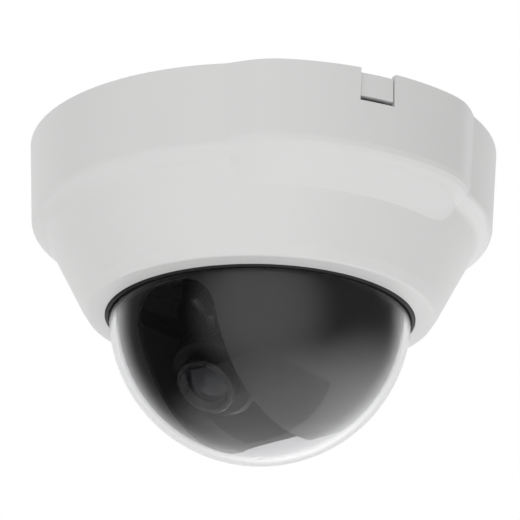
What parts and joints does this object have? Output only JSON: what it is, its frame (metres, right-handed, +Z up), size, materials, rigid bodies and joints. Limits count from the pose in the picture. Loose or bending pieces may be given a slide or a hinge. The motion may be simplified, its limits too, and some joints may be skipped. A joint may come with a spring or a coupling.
{
  "type": "dome cctv camera",
  "caption": "Ceiling dome security camera: round white cover with a release tab over a smoked bubble, and a lens on a pan, tilt and roll mount inside.",
  "frame": {"origin": "centre of the ceiling mounting face of the base plate, z = 0 on that face", "axes": "+Z up into the ceiling, so the camera hangs below the origin; -Y is the way the lens looks at pan zero; the tilt axis lies along X"},
  "size_m": [0.1476, 0.144, 0.0997],
  "materials": {
    "cover_white": "fine moulded matt",
    "base_plastic": "moulded matt",
    "smoked_dome": "polished smoked polycarbonate",
    "gasket_rubber": "matt rubber",
    "liner_black": "satin dark",
    "black_plastic": "satin black",
    "head_plastic": "satin dark grey",
    "circuit_board": "solder mask",
    "chip_plastic": "matt epoxy",
    "capacitor_can": "sleeved can",
    "coil_ferrite": "matt ferrite",
    "terminal_green": "moulded",
    "socket_ivory": "moulded",
    "plated_steel": "zinc plated",
    "steel_screw": "turned and plated",
    "sensor_ceramic": "ceramic with glass lid",
    "lens_alloy": "satin anodised",
    "lens_black": "black anodised",
    "lens_glass": "coated glass"
  },
  "bodies": {
    "base": {"base_plate": "base_plastic", "main_board": "circuit_board", "board_screws": "steel_screw", "image_processor_chip": "chip_plastic", "memory_chips": "chip_plastic", "smoothing_capacitors": "capacitor_can", "power_coil": "coil_ferrite", "power_terminal": "terminal_green", "terminal_screws": "steel_screw", "video_socket": "black_plastic", "ribbon_socket": "socket_ivory", "camera_platform": "plated_steel", "platform_screws": "steel_screw", "latch_pin": "steel_screw"},
    "latch": {"release_latch": "cover_white"},
    "cover": {"dome_cover": "cover_white", "dome_gasket": "gasket_rubber", "dome_bubble": "smoked_dome", "bubble_retainer": "black_plastic", "retainer_screws": "steel_screw"},
    "pan_head": {"turntable": "black_plastic", "pan_retaining_ring": "steel_screw", "yoke": "black_plastic", "yoke_screws": "steel_screw", "inner_liner": "liner_black", "liner_screws": "steel_screw"},
    "pan_lock": {"pan_lock_screw": "steel_screw"},
    "tilt_frame": {"tilt_cradle": "black_plastic", "tilt_pins": "steel_screw"},
    "tilt_lock": {"tilt_lock_screw": "steel_screw"},
    "camera_head": {"camera_housing": "head_plastic", "housing_back": "head_plastic", "housing_screws": "steel_screw", "sensor_board": "circuit_board", "image_sensor": "sensor_ceramic", "sensor_socket": "socket_ivory", "lens_mount": "lens_alloy", "lens_barrel": "lens_black", "lens_bezel": "lens_alloy", "front_glass": "lens_glass", "rear_glass": "lens_glass"},
    "zoom_control": {"zoom_ring": "lens_black"},
    "zoom_lock": {"zoom_lock_screw": "steel_screw"},
    "focus_control": {"focus_ring": "lens_black"},
    "focus_lock": {"focus_lock_screw": "steel_screw"}
  },
  "joints": [
    {"name": "cover_pull_off", "type": "slide", "parent": "base", "child": "cover", "axis": [0, 0, -1], "range_m": [0, 0.105]},
    {"name": "latch_press", "type": "hinge", "parent": "base", "child": "latch", "pos_m": [0.06006, -0.02737, -0.014], "axis": [-0.4147, -0.91, 0], "range_deg": [0, 8], "stiffness_Nm_per_rad": 0.35, "springref_deg": -3.44},
    {"name": "pan", "type": "hinge", "parent": "base", "child": "pan_head", "pos_m": [0, 0, -0.0224], "axis": [0, 0, 1], "range_deg": [-175, 175]},
    {"name": "pan_lock_turn", "type": "hinge", "parent": "pan_head", "child": "pan_lock", "pos_m": [0, 0.024, -0.026], "axis": [0, 0, 1], "range_deg": [-180, 180]},
    {"name": "tilt", "type": "hinge", "parent": "pan_head", "child": "tilt_frame", "pos_m": [0, 0, -0.0535], "axis": [1, 0, 0], "range_deg": [-29, 30]},
    {"name": "tilt_lock_turn", "type": "hinge", "parent": "pan_head", "child": "tilt_lock", "pos_m": [0.0275, 0, -0.0435], "axis": [1, 0, 0], "range_deg": [-180, 180]},
    {"name": "image_roll", "type": "hinge", "parent": "tilt_frame", "child": "camera_head", "pos_m": [0, 0, -0.0535], "axis": [0, -0.6428, -0.766], "range_deg": [-95, 95]},
    {"name": "zoom_turn", "type": "hinge", "parent": "camera_head", "child": "zoom_control", "pos_m": [0, -0.01061, -0.06614], "axis": [0, -0.6428, -0.766], "range_deg": [-45, 45]},
    {"name": "zoom_lock_turn", "type": "hinge", "parent": "zoom_control", "child": "zoom_lock", "pos_m": [0, -0.01061, -0.06614], "axis": [-0.2588, -0.7399, 0.6209], "range_deg": [-180, 180]},
    {"name": "focus_turn", "type": "hinge", "parent": "camera_head", "child": "focus_control", "pos_m": [0, -0.01864, -0.07572], "axis": [0, -0.6428, -0.766], "range_deg": [-50, 50]},
    {"name": "focus_lock_turn", "type": "hinge", "parent": "focus_control", "child": "focus_lock", "pos_m": [0, -0.01736, -0.07418], "axis": [0.342, -0.7198, 0.604], "range_deg": [-180, 180]}
  ]
}
